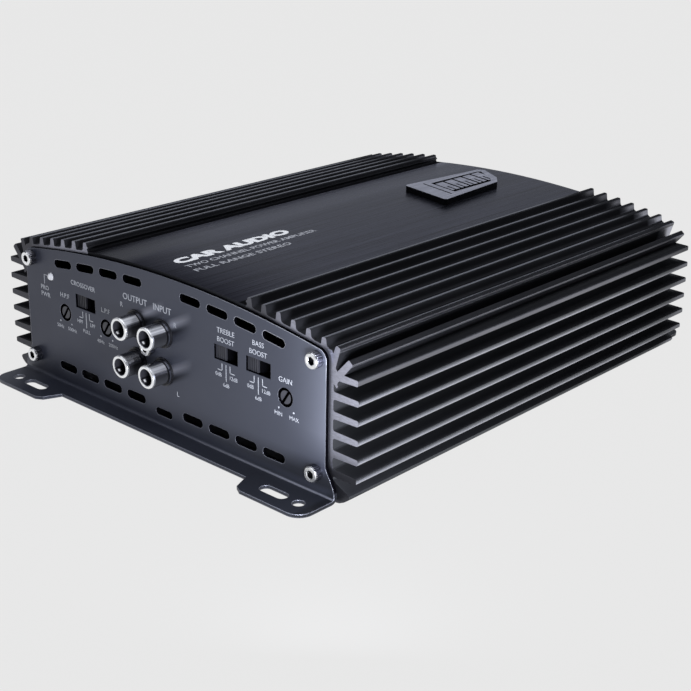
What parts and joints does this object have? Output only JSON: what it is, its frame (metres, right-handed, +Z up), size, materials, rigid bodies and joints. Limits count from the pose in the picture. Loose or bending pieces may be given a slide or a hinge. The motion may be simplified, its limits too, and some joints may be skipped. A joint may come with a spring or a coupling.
{
  "type": "car amplifier",
  "caption": "Compact car audio amplifier: finned aluminium extrusion with folded end panels, mounting feet, phono jacks, level controls, fuses and screw terminals.",
  "frame": {"origin": "middle of the footprint, on the surface the amplifier stands on", "axes": "+Z up, -Y out of the control panel with the phono jacks, +Y out of the terminal panel, +X to the right as the control panel is faced"},
  "size_m": [0.177, 0.23, 0.0596],
  "materials": {
    "anodised": "black anodised extrusion, brushed on the deck, bare where it is sawn off",
    "cover_paint": "black powder coat",
    "panel_paint": "satin blue-grey paint",
    "chrome": "bright chrome plate",
    "zinc": "zinc-plated steel",
    "badge_metal": "dark satin metal with a bright cut edge",
    "board": "green solder mask",
    "black_plastic": "moulded black plastic",
    "blue_plastic": "blue sleeve",
    "switch_frame": "pressed tinplate",
    "brass": "plated brass",
    "led_lens": "milky clear lens",
    "ferrite": "coated ferrite",
    "copper_wire": "enamelled copper wire",
    "pad_rubber": "grey silicone pad",
    "fuse_plastic": "translucent blue plastic"
  },
  "bodies": {
    "chassis": {"heatsink_shell": "anodised", "bottom_cover": "cover_paint", "front_panel": "panel_paint", "rear_panel": "panel_paint", "front_panel_screws": "chrome", "rear_panel_screws": "chrome", "output_r_shield": "chrome", "output_l_shield": "chrome", "input_r_shield": "chrome", "input_l_shield": "chrome", "rca_screw": "chrome", "bottom_cover_screws": "zinc", "board_standoffs": "zinc", "board_screws": "zinc", "clamp_screws": "zinc", "clamp_bars": "zinc", "badge_plate": "badge_metal", "main_board": "board", "control_boards": "board", "board_headers": "black_plastic", "rca_housing": "black_plastic", "rca_insulators": "black_plastic", "power_transistors": "black_plastic", "signal_chips": "black_plastic", "power_terminal_block": "black_plastic", "speaker_terminal_block": "black_plastic", "fuse_holder": "black_plastic", "hpf_pot_body": "blue_plastic", "lpf_pot_body": "blue_plastic", "gain_pot_body": "blue_plastic", "filter_capacitors": "blue_plastic", "signal_capacitors": "blue_plastic", "crossover_switch_body": "switch_frame", "treble_switch_body": "switch_frame", "bass_switch_body": "switch_frame", "rca_contacts": "brass", "power_terminal_cages": "brass", "speaker_terminal_cages": "brass", "fuse_contacts": "brass", "power_led": "led_lens", "transformer_core": "ferrite", "transformer_winding": "copper_wire", "input_choke": "copper_wire", "thermal_pads": "pad_rubber"},
    "hpf_trimmer": {"hpf_rotor": "black_plastic"},
    "lpf_trimmer": {"lpf_rotor": "black_plastic"},
    "gain_trimmer": {"gain_rotor": "black_plastic"},
    "crossover_knob": {"crossover_slider": "black_plastic"},
    "treble_knob": {"treble_slider": "black_plastic"},
    "bass_knob": {"bass_slider": "black_plastic"},
    "fuse_a": {"fuse_a": "fuse_plastic"},
    "fuse_b": {"fuse_b": "fuse_plastic"},
    "ground_screw": {"ground_screw": "zinc"},
    "remote_screw": {"remote_screw": "zinc"},
    "supply_screw": {"supply_screw": "zinc"},
    "speaker_screw_a": {"speaker_screw_a": "zinc"},
    "speaker_screw_b": {"speaker_screw_b": "zinc"},
    "speaker_screw_c": {"speaker_screw_c": "zinc"},
    "speaker_screw_d": {"speaker_screw_d": "zinc"}
  },
  "joints": [
    {"name": "hpf_turn", "type": "hinge", "parent": "chassis", "child": "hpf_trimmer", "pos_m": [-0.05365, -0.0994, 0.0296], "axis": [0, 1, 0], "range_deg": [-180, 120]},
    {"name": "lpf_turn", "type": "hinge", "parent": "chassis", "child": "lpf_trimmer", "pos_m": [-0.03015, -0.0994, 0.0296], "axis": [0, 1, 0], "range_deg": [-180, 120]},
    {"name": "gain_turn", "type": "hinge", "parent": "chassis", "child": "gain_trimmer", "pos_m": [0.05895, -0.0994, 0.0298], "axis": [0, 1, 0], "range_deg": [-180, 120]},
    {"name": "crossover_slide", "type": "slide", "parent": "chassis", "child": "crossover_knob", "axis": [1, 0, 0], "range_m": [0, 0.0061]},
    {"name": "treble_slide", "type": "slide", "parent": "chassis", "child": "treble_knob", "axis": [1, 0, 0], "range_m": [0, 0.0061]},
    {"name": "bass_slide", "type": "slide", "parent": "chassis", "child": "bass_knob", "axis": [1, 0, 0], "range_m": [0, 0.0061]},
    {"name": "fuse_a_pull", "type": "slide", "parent": "chassis", "child": "fuse_a", "axis": [0, 1, 0], "range_m": [0, 0.03]},
    {"name": "fuse_b_pull", "type": "slide", "parent": "chassis", "child": "fuse_b", "axis": [0, 1, 0], "range_m": [0, 0.03]},
    {"name": "ground_screw_travel", "type": "slide", "parent": "chassis", "child": "ground_screw", "axis": [0, 0, -1], "range_m": [0, 0.005]},
    {"name": "remote_screw_travel", "type": "slide", "parent": "chassis", "child": "remote_screw", "axis": [0, 0, -1], "range_m": [0, 0.005]},
    {"name": "supply_screw_travel", "type": "slide", "parent": "chassis", "child": "supply_screw", "axis": [0, 0, -1], "range_m": [0, 0.005]},
    {"name": "speaker_screw_a_travel", "type": "slide", "parent": "chassis", "child": "speaker_screw_a", "axis": [0, 0, -1], "range_m": [0, 0.0035]},
    {"name": "speaker_screw_b_travel", "type": "slide", "parent": "chassis", "child": "speaker_screw_b", "axis": [0, 0, -1], "range_m": [0, 0.0035]},
    {"name": "speaker_screw_c_travel", "type": "slide", "parent": "chassis", "child": "speaker_screw_c", "axis": [0, 0, -1], "range_m": [0, 0.0035]},
    {"name": "speaker_screw_d_travel", "type": "slide", "parent": "chassis", "child": "speaker_screw_d", "axis": [0, 0, -1], "range_m": [0, 0.0035]}
  ]
}
